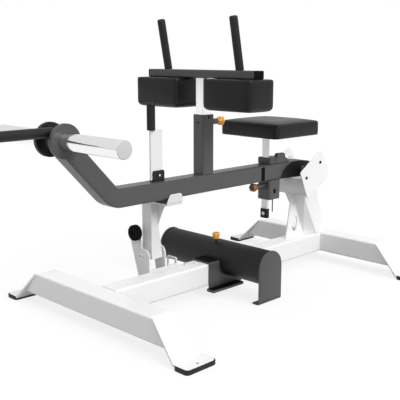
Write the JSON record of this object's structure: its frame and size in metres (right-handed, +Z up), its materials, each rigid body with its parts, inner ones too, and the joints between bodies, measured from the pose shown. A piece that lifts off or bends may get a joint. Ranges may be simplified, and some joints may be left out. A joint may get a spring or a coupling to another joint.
{
  "type": "plate-loaded seated calf raise machine",
  "caption": "Seated calf raise machine: a pivoting lever with plate horns, thigh pads and seat over a low base with a sliding foot rest and a swing-away latch.",
  "frame": {"origin": "centre of the bounding box in plan, on the floor", "axes": "+X towards the pivot and seat end, +Y towards the seated user's right, +Z up"},
  "size_m": [1.5181, 0.894, 0.9358],
  "materials": {
    "frame_white": "gloss powder coat",
    "lever_charcoal": "satin powder coat",
    "part_grey": "satin powder coat",
    "latch_silver": "satin silver powder coat",
    "handle_silver": "satin silver powder coat",
    "horn_chrome": "polished",
    "steel_zinc": "zinc plated",
    "rubber_black": "matte",
    "plastic_black": "moulded",
    "vinyl_black": "smooth vinyl",
    "knob_orange": "moulded",
    "steel_black": "black gloss paint"
  },
  "bodies": {
    "base": {"front_cross_beam": "frame_white", "rear_cross_beam": "frame_white", "spine": "frame_white", "front_foot_plate_left": "frame_white", "front_foot_plate_right": "frame_white", "rear_foot_plate_left": "frame_white", "rear_foot_plate_right": "frame_white", "front_rubber_foot_left": "rubber_black", "front_rubber_foot_right": "rubber_black", "rear_rubber_foot_left": "rubber_black", "rear_rubber_foot_right": "rubber_black", "stop_bolt_front": "steel_zinc", "stop_bolt_rear": "steel_zinc", "pylon": "frame_white", "pivot_box_sheet": "frame_white", "pivot_end_plate_left": "frame_white", "pivot_end_plate_right": "frame_white", "flange_bearing_left": "plastic_black", "flange_bearing_right": "steel_zinc", "pivot_shaft": "steel_zinc", "latch_clevis": "latch_silver", "latch_bolt": "steel_zinc", "latch_bumper": "rubber_black"},
    "lever": {"lever_arm": "lever_charcoal", "lever_knuckle": "plastic_black", "lever_joint_strip": "rubber_black", "loading_head": "part_grey", "plate_horn_left": "horn_chrome", "plate_horn_right": "horn_chrome", "front_bar": "steel_black", "handle_bracket": "plastic_black", "handle_post": "handle_silver", "handle_grip": "plastic_black", "thigh_post": "lever_charcoal", "seat_housing": "lever_charcoal", "seat_collar": "part_grey", "seat_post_stop": "lever_charcoal", "seat_guide_rod": "part_grey"},
    "thigh_carriage": {"thigh_inner_tube": "handle_silver", "thigh_crossbar": "part_grey", "crossbar_cap_left": "plastic_black", "crossbar_cap_right": "plastic_black", "thigh_grip_left": "rubber_black", "thigh_grip_right": "rubber_black", "thigh_pad_left": "vinyl_black", "thigh_pad_right": "vinyl_black"},
    "seat": {"seat_plate": "part_grey", "seat_post": "steel_zinc", "seat_post_end": "plastic_black", "seat_pad": "vinyl_black"},
    "latch": {"latch_post": "latch_silver", "latch_lip": "latch_silver", "latch_pad": "rubber_black"},
    "foot_rest": {"foot_rest_carriage": "part_grey", "foot_rest_cover": "rubber_black", "foot_rest_end_left": "part_grey", "foot_rest_end_right": "part_grey"},
    "thigh_pin": {"thigh_pull_pin": "knob_orange"},
    "seat_pin": {"seat_pull_pin": "knob_orange"},
    "rest_pin": {"foot_rest_pull_pin": "knob_orange"}
  },
  "joints": [
    {"name": "lever_hinge", "type": "hinge", "parent": "base", "child": "lever", "pos_m": [0.54625, 0, 0.3866], "axis": [0, 1, 0], "range_deg": [0, 14]},
    {"name": "thigh_height", "type": "slide", "parent": "lever", "child": "thigh_carriage", "axis": [0, 0, 1], "range_m": [-0.1, 0.03]},
    {"name": "seat_height", "type": "slide", "parent": "lever", "child": "seat", "axis": [0, 0, 1], "range_m": [-0.04, 0.035]},
    {"name": "latch_hinge", "type": "hinge", "parent": "base", "child": "latch", "pos_m": [-0.14405, 0.0767, 0.1616], "axis": [1, 0, 0], "range_deg": [0, 35]},
    {"name": "foot_rest_slide", "type": "slide", "parent": "base", "child": "foot_rest", "axis": [1, 0, 0], "range_m": [-0.01, 0.14]},
    {"name": "thigh_pin_pull", "type": "slide", "parent": "lever", "child": "thigh_pin", "axis": [1, 0, 0], "range_m": [0, 0.01], "stiffness_N_per_m": 900, "springref_m": -0.004},
    {"name": "seat_pin_pull", "type": "slide", "parent": "lever", "child": "seat_pin", "axis": [-1, 0, 0], "range_m": [0, 0.01], "stiffness_N_per_m": 900, "springref_m": -0.004},
    {"name": "rest_pin_pull", "type": "slide", "parent": "foot_rest", "child": "rest_pin", "axis": [0, 0, 1], "range_m": [0, 0.01], "stiffness_N_per_m": 900, "springref_m": -0.004}
  ]
}
